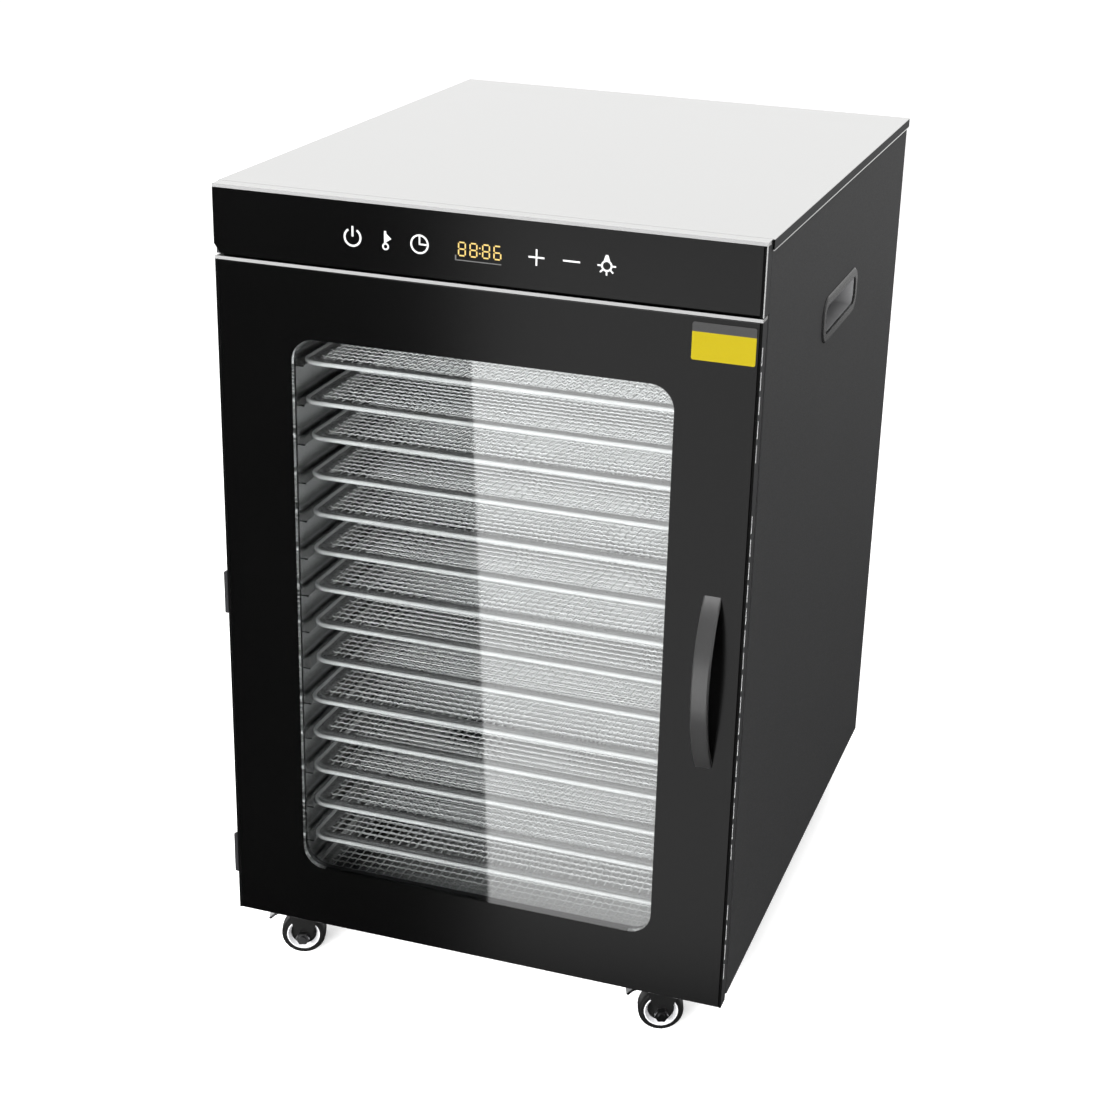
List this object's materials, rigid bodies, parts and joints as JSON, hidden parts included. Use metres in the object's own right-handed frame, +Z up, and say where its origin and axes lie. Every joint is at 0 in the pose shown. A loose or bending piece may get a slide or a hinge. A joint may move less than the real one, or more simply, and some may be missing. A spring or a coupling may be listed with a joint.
{
  "type": "food dehydrator",
  "caption": "Upright cabinet food dehydrator: glass door, stacked mesh trays on side runners, rear fan and heater, touch controls above the door, swivel casters.",
  "frame": {"origin": "on the floor, under the middle of the cabinet", "axes": "+Z up, the door faces -Y, +X towards the handle side"},
  "size_m": [0.4377, 0.5564, 0.68],
  "materials": {
    "charcoal_steel": "satin",
    "brushed_steel": "brushed",
    "galvanised_steel": "satin",
    "liner_steel": "bright annealed",
    "tray_steel": "polished",
    "black_glass": "gloss black glass",
    "door_glass": "clear with a printed black border",
    "black_plastic": "satin",
    "lamp_lens": "frosted",
    "circuit_board": "satin",
    "heater_tube": "oxidised",
    "handle_metal": "satin",
    "gasket_rubber": "matt",
    "magnet_black": "matt",
    "label_film": "printed film",
    "caster_black": "satin",
    "wheel_tread": "matt",
    "lever_zinc": "zinc plated"
  },
  "bodies": {
    "cabinet": {"base_pan": "galvanised_steel", "left_side_panel": "charcoal_steel", "right_side_panel": "charcoal_steel", "back_panel": "galvanised_steel", "top_cover": "brushed_steel", "control_fascia": "brushed_steel", "control_glass": "black_glass", "display_module": "black_plastic", "control_board": "circuit_board", "power_board": "circuit_board", "front_frame": "galvanised_steel", "liner_floor": "liner_steel", "liner_ceiling": "liner_steel", "left_rack_wall": "liner_steel", "right_rack_wall": "liner_steel", "air_baffle": "liner_steel", "chamber_lamp": "lamp_lens", "fan_motor": "galvanised_steel", "heating_element": "heater_tube", "temperature_probe": "black_plastic", "left_recess_grip": "black_plastic", "right_recess_grip": "black_plastic", "power_inlet": "black_plastic", "cabinet_hinge_brackets": "galvanised_steel", "caster_plates": "galvanised_steel", "cabinet_screws": "galvanised_steel"},
    "door": {"door_frame": "brushed_steel", "door_glass": "door_glass", "door_handle": "handle_metal", "door_gasket": "gasket_rubber", "door_magnets": "magnet_black", "door_label": "label_film", "door_hinge_leaves": "galvanised_steel"},
    "fan": {"fan_impeller": "galvanised_steel"},
    "tray_01": {"tray_01": "tray_steel"},
    "tray_02": {"tray_02": "tray_steel"},
    "tray_03": {"tray_03": "tray_steel"},
    "tray_04": {"tray_04": "tray_steel"},
    "tray_05": {"tray_05": "tray_steel"},
    "tray_06": {"tray_06": "tray_steel"},
    "tray_07": {"tray_07": "tray_steel"},
    "tray_08": {"tray_08": "tray_steel"},
    "tray_09": {"tray_09": "tray_steel"},
    "tray_10": {"tray_10": "tray_steel"},
    "tray_11": {"tray_11": "tray_steel"},
    "tray_12": {"tray_12": "tray_steel"},
    "tray_13": {"tray_13": "tray_steel"},
    "tray_14": {"tray_14": "tray_steel"},
    "tray_15": {"tray_15": "tray_steel"},
    "tray_16": {"tray_16": "tray_steel"},
    "caster_front_left": {"caster_fork_front_left": "caster_black"},
    "wheel_front_left": {"caster_wheel_front_left": "wheel_tread"},
    "caster_front_right": {"caster_fork_front_right": "caster_black"},
    "wheel_front_right": {"caster_wheel_front_right": "wheel_tread"},
    "caster_rear_left": {"caster_fork_rear_left": "caster_black"},
    "wheel_rear_left": {"caster_wheel_rear_left": "wheel_tread"},
    "caster_rear_right": {"caster_fork_rear_right": "caster_black"},
    "wheel_rear_right": {"caster_wheel_rear_right": "wheel_tread"},
    "brake_front_left": {"brake_lever_front_left": "lever_zinc"},
    "brake_front_right": {"brake_lever_front_right": "lever_zinc"}
  },
  "joints": [
    {"name": "door_open", "type": "hinge", "parent": "cabinet", "child": "door", "pos_m": [-0.2182, -0.243, 0.344], "axis": [0, 0, -1], "range_deg": [0, 115]},
    {"name": "fan_spin", "type": "hinge", "parent": "cabinet", "child": "fan", "pos_m": [0, 0.22, 0.33], "axis": [0, -1, 0], "continuous": true},
    {"name": "tray_01_slide", "type": "slide", "parent": "cabinet", "child": "tray_01", "axis": [0, -1, 0], "range_m": [-0.017, 0.012]},
    {"name": "tray_02_slide", "type": "slide", "parent": "cabinet", "child": "tray_02", "axis": [0, -1, 0], "range_m": [-0.017, 0.012]},
    {"name": "tray_03_slide", "type": "slide", "parent": "cabinet", "child": "tray_03", "axis": [0, -1, 0], "range_m": [-0.017, 0.012]},
    {"name": "tray_04_slide", "type": "slide", "parent": "cabinet", "child": "tray_04", "axis": [0, -1, 0], "range_m": [-0.017, 0.012]},
    {"name": "tray_05_slide", "type": "slide", "parent": "cabinet", "child": "tray_05", "axis": [0, -1, 0], "range_m": [-0.017, 0.012]},
    {"name": "tray_06_slide", "type": "slide", "parent": "cabinet", "child": "tray_06", "axis": [0, -1, 0], "range_m": [-0.017, 0.012]},
    {"name": "tray_07_slide", "type": "slide", "parent": "cabinet", "child": "tray_07", "axis": [0, -1, 0], "range_m": [-0.008, 0.021]},
    {"name": "tray_08_slide", "type": "slide", "parent": "cabinet", "child": "tray_08", "axis": [0, -1, 0], "range_m": [-0.008, 0.021]},
    {"name": "tray_09_slide", "type": "slide", "parent": "cabinet", "child": "tray_09", "axis": [0, -1, 0], "range_m": [-0.008, 0.021]},
    {"name": "tray_10_slide", "type": "slide", "parent": "cabinet", "child": "tray_10", "axis": [0, -1, 0], "range_m": [-0.008, 0.021]},
    {"name": "tray_11_slide", "type": "slide", "parent": "cabinet", "child": "tray_11", "axis": [0, -1, 0], "range_m": [-0.008, 0.021]},
    {"name": "tray_12_slide", "type": "slide", "parent": "cabinet", "child": "tray_12", "axis": [0, -1, 0], "range_m": [-0.008, 0.021]},
    {"name": "tray_13_slide", "type": "slide", "parent": "cabinet", "child": "tray_13", "axis": [0, -1, 0], "range_m": [-0.008, 0.021]},
    {"name": "tray_14_slide", "type": "slide", "parent": "cabinet", "child": "tray_14", "axis": [0, -1, 0], "range_m": [-0.017, 0.012]},
    {"name": "tray_15_slide", "type": "slide", "parent": "cabinet", "child": "tray_15", "axis": [0, -1, 0], "range_m": [-0.017, 0.012]},
    {"name": "tray_16_slide", "type": "slide", "parent": "cabinet", "child": "tray_16", "axis": [0, -1, 0], "range_m": [-0.017, 0.012]},
    {"name": "caster_front_left_swivel", "type": "hinge", "parent": "cabinet", "child": "caster_front_left", "pos_m": [-0.163, -0.214, 0.048], "axis": [0, 0, 1], "continuous": true},
    {"name": "wheel_front_left_roll", "type": "hinge", "parent": "caster_front_left", "child": "wheel_front_left", "pos_m": [-0.17052, -0.21674, 0.019], "axis": [-0.342, 0.9397, 0], "continuous": true},
    {"name": "caster_front_right_swivel", "type": "hinge", "parent": "cabinet", "child": "caster_front_right", "pos_m": [0.163, -0.214, 0.048], "axis": [0, 0, 1], "continuous": true},
    {"name": "wheel_front_right_roll", "type": "hinge", "parent": "caster_front_right", "child": "wheel_front_right", "pos_m": [0.15548, -0.21674, 0.019], "axis": [-0.342, 0.9397, 0], "continuous": true},
    {"name": "caster_rear_left_swivel", "type": "hinge", "parent": "cabinet", "child": "caster_rear_left", "pos_m": [-0.163, 0.232, 0.048], "axis": [0, 0, 1], "continuous": true},
    {"name": "wheel_rear_left_roll", "type": "hinge", "parent": "caster_rear_left", "child": "wheel_rear_left", "pos_m": [-0.17052, 0.22926, 0.019], "axis": [-0.342, 0.9397, 0], "continuous": true},
    {"name": "caster_rear_right_swivel", "type": "hinge", "parent": "cabinet", "child": "caster_rear_right", "pos_m": [0.163, 0.232, 0.048], "axis": [0, 0, 1], "continuous": true},
    {"name": "wheel_rear_right_roll", "type": "hinge", "parent": "caster_rear_right", "child": "wheel_rear_right", "pos_m": [0.15548, 0.22926, 0.019], "axis": [-0.342, 0.9397, 0], "continuous": true},
    {"name": "brake_front_left_press", "type": "hinge", "parent": "caster_front_left", "child": "brake_front_left", "pos_m": [-0.17803, -0.21947, 0.0435], "axis": [0.342, -0.9397, 0], "range_deg": [0, 8]},
    {"name": "brake_front_right_press", "type": "hinge", "parent": "caster_front_right", "child": "brake_front_right", "pos_m": [0.14797, -0.21947, 0.0435], "axis": [0.342, -0.9397, 0], "range_deg": [0, 8]}
  ]
}
